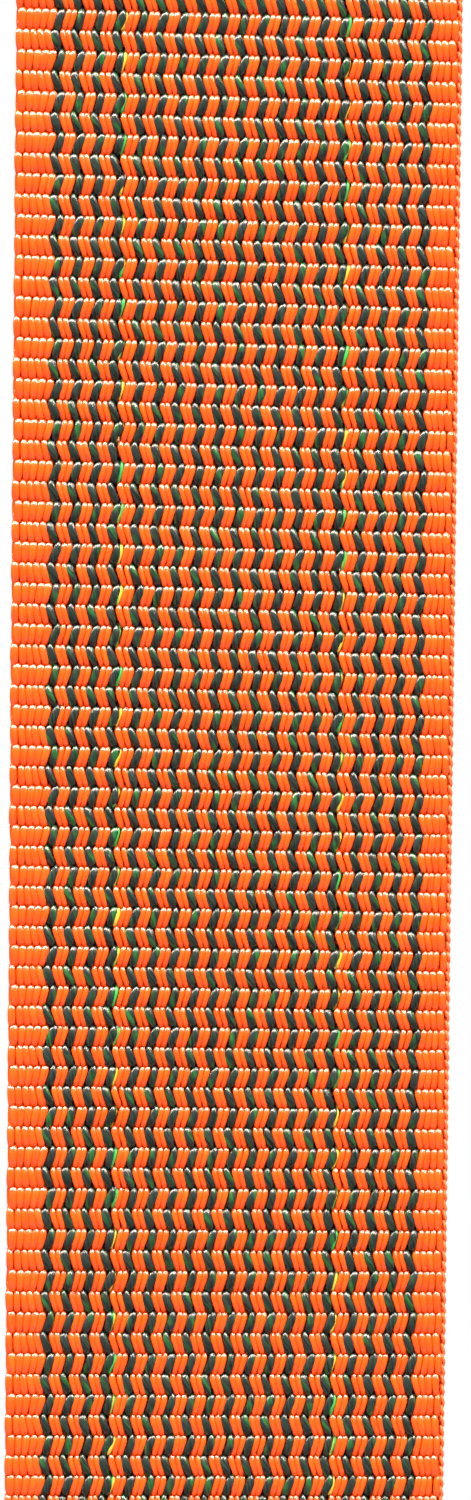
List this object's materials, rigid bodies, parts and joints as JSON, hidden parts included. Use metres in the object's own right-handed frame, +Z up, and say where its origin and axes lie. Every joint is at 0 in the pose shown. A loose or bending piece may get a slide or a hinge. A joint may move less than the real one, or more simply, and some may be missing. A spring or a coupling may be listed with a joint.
{
  "type": "woven webbing strap",
  "caption": "Length of warp-faced woven webbing, striped on both faces, with plain woven edges and heat-sealed ends; flexes along its length.",
  "frame": {"origin": "middle of the strap at its upper cut face, where it hangs from", "axes": "+Z up along the strap, +X across its width to the right seen from the front, -Y out of the front face"},
  "size_m": [0.025, 0.0016, 0.1],
  "materials": {
    "orange_yarn": "glossy filament polyester yarn",
    "green_yarn": "dark green filament polyester yarn",
    "tracer_yarn": "thin plied yellow and green yarn",
    "catch_yarn": "thin knitted edge yarn",
    "weft_yarn": "filament polyester yarn",
    "sealed_yarn": "melted yarn, rough"
  },
  "bodies": {
    "length_1": {"green_wales_1": "green_yarn", "orange_wales_1": "orange_yarn", "left_selvedge_1": "orange_yarn", "right_selvedge_1": "orange_yarn", "catch_thread_1": "catch_yarn", "left_tracer_1": "tracer_yarn", "right_tracer_1": "tracer_yarn", "weft_1": "weft_yarn", "sealed_end_top": "sealed_yarn"},
    "length_2": {"green_wales_2": "green_yarn", "orange_wales_2": "orange_yarn", "left_selvedge_2": "orange_yarn", "right_selvedge_2": "orange_yarn", "catch_thread_2": "catch_yarn", "left_tracer_2": "tracer_yarn", "right_tracer_2": "tracer_yarn", "weft_2": "weft_yarn"},
    "length_3": {"green_wales_3": "green_yarn", "orange_wales_3": "orange_yarn", "left_selvedge_3": "orange_yarn", "right_selvedge_3": "orange_yarn", "catch_thread_3": "catch_yarn", "left_tracer_3": "tracer_yarn", "right_tracer_3": "tracer_yarn", "weft_3": "weft_yarn"},
    "length_4": {"green_wales_4": "green_yarn", "orange_wales_4": "orange_yarn", "left_selvedge_4": "orange_yarn", "right_selvedge_4": "orange_yarn", "catch_thread_4": "catch_yarn", "left_tracer_4": "tracer_yarn", "right_tracer_4": "tracer_yarn", "weft_4": "weft_yarn", "sealed_end_bottom": "sealed_yarn"}
  },
  "joints": [
    {"name": "flex_1", "type": "hinge", "parent": "length_1", "child": "length_2", "pos_m": [0, 0, -0.02585], "axis": [1, 0, 0], "range_deg": [-45, 45]},
    {"name": "flex_2", "type": "hinge", "parent": "length_2", "child": "length_3", "pos_m": [0, 0, -0.05], "axis": [1, 0, 0], "range_deg": [-45, 45]},
    {"name": "flex_3", "type": "hinge", "parent": "length_3", "child": "length_4", "pos_m": [0, 0, -0.07415], "axis": [1, 0, 0], "range_deg": [-45, 45]}
  ]
}
